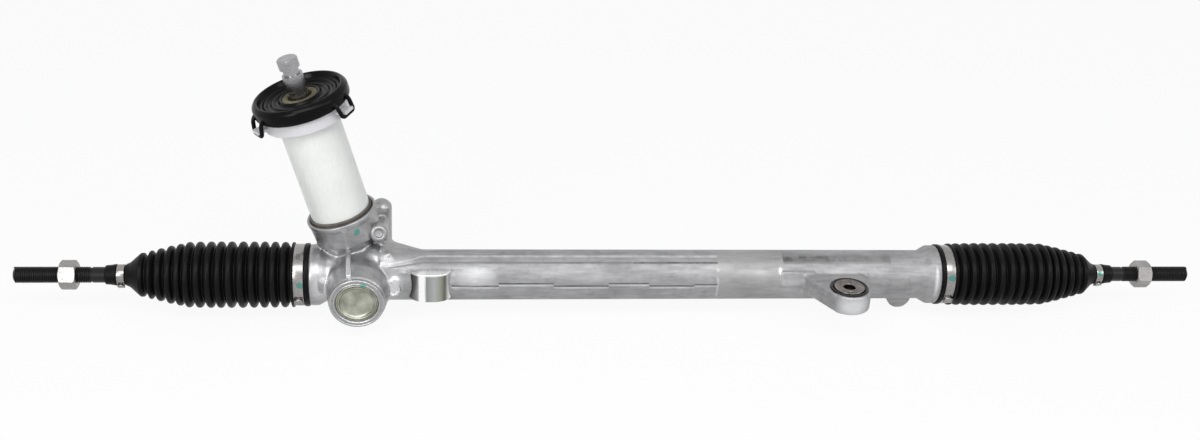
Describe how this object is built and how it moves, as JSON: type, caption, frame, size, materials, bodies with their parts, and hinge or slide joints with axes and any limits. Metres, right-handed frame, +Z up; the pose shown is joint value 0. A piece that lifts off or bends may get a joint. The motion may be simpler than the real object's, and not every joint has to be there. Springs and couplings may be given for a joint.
{
  "type": "steering rack",
  "caption": "Rack-and-pinion steering gear with leaning pinion tower, rubber boots and threaded tie rods.",
  "frame": {"origin": "bore of the right mounting sleeve, in the lower end that seats on the crossmember", "axes": "+X along the rack to the right, +Z up along the mounting bolts, -Y towards the support yoke"},
  "size_m": [1.06, 0.1191, 0.2391],
  "materials": {
    "cast_aluminium": "die-cast, shot-blasted",
    "ground_steel": "ground",
    "bush_plastic": "smooth",
    "bearing_steel": "polished",
    "black_rubber": "slightly glossy",
    "translucent_plastic": "milky, translucent",
    "spring_steel": "oiled",
    "plug_alloy": "turned, chromated",
    "zinc_steel": "zinc plated",
    "black_steel": "phosphated black",
    "boot_rubber": "matt moulded",
    "stainless_band": "bright band"
  },
  "bodies": {
    "housing": {"rack_housing": "cast_aluminium", "rack_bush": "bush_plastic", "bearing_outer_race": "bearing_steel", "pinion_lower_bush": "bearing_steel", "bearing_nut": "cast_aluminium", "pinion_shaft_seal": "black_rubber", "pinion_cover": "translucent_plastic", "cover_seal_ring": "black_rubber", "dash_seal": "black_rubber", "support_yoke": "cast_aluminium", "yoke_liner": "bush_plastic", "yoke_o_ring": "black_rubber", "yoke_spring": "spring_steel", "yoke_plug": "plug_alloy", "mount_rubber_bush": "black_rubber", "mount_steel_sleeve": "zinc_steel", "left_boot": "boot_rubber", "right_boot": "boot_rubber", "left_big_clamp": "stainless_band", "right_big_clamp": "stainless_band"},
    "rack": {"rack_bar": "ground_steel", "left_ball_socket": "ground_steel", "right_ball_socket": "ground_steel", "left_ball_seat": "bush_plastic", "right_ball_seat": "bush_plastic"},
    "pinion": {"pinion_shaft": "ground_steel", "bearing_inner_race": "bearing_steel"},
    "ball_cage": {"bearing_balls": "bearing_steel", "bearing_cage": "bearing_steel"},
    "left_rod": {"left_tie_rod": "black_steel", "left_lock_nut": "zinc_steel", "left_small_clamp": "stainless_band"},
    "right_rod": {"right_tie_rod": "black_steel", "right_lock_nut": "zinc_steel", "right_small_clamp": "stainless_band"}
  },
  "joints": [
    {"name": "rack_slide", "type": "slide", "parent": "housing", "child": "rack", "axis": [1, 0, 0], "range_m": [-0.071, 0.071], "deforming": ["left_boot", "right_boot"]},
    {"name": "pinion_turn", "type": "hinge", "parent": "housing", "child": "pinion", "pos_m": [-0.43, 0.05979, 0.00815], "axis": [-0.2672, -0.042, 0.9627], "range_deg": [-509, 509]},
    {"name": "ball_cage_turn", "type": "hinge", "parent": "housing", "child": "ball_cage", "pos_m": [-0.43748, 0.05861, 0.0351], "axis": [-0.2672, -0.042, 0.9627], "range_deg": [-195, 195]},
    {"name": "left_rod_swing", "type": "hinge", "parent": "rack", "child": "left_rod", "pos_m": [-0.562, 0.045, 0.0075], "axis": [0, 1, 0], "range_deg": [-20, 20], "deforming": ["left_boot"]},
    {"name": "right_rod_swing", "type": "hinge", "parent": "rack", "child": "right_rod", "pos_m": [0.182, 0.045, 0.0075], "axis": [0, 1, 0], "range_deg": [-20, 20], "deforming": ["right_boot"]}
  ],
  "couplings": [
    {"joint": "pinion_turn", "follows": "rack_slide", "rad_per_m": 125},
    {"joint": "ball_cage_turn", "follows": "rack_slide", "rad_per_m": 47.719}
  ]
}
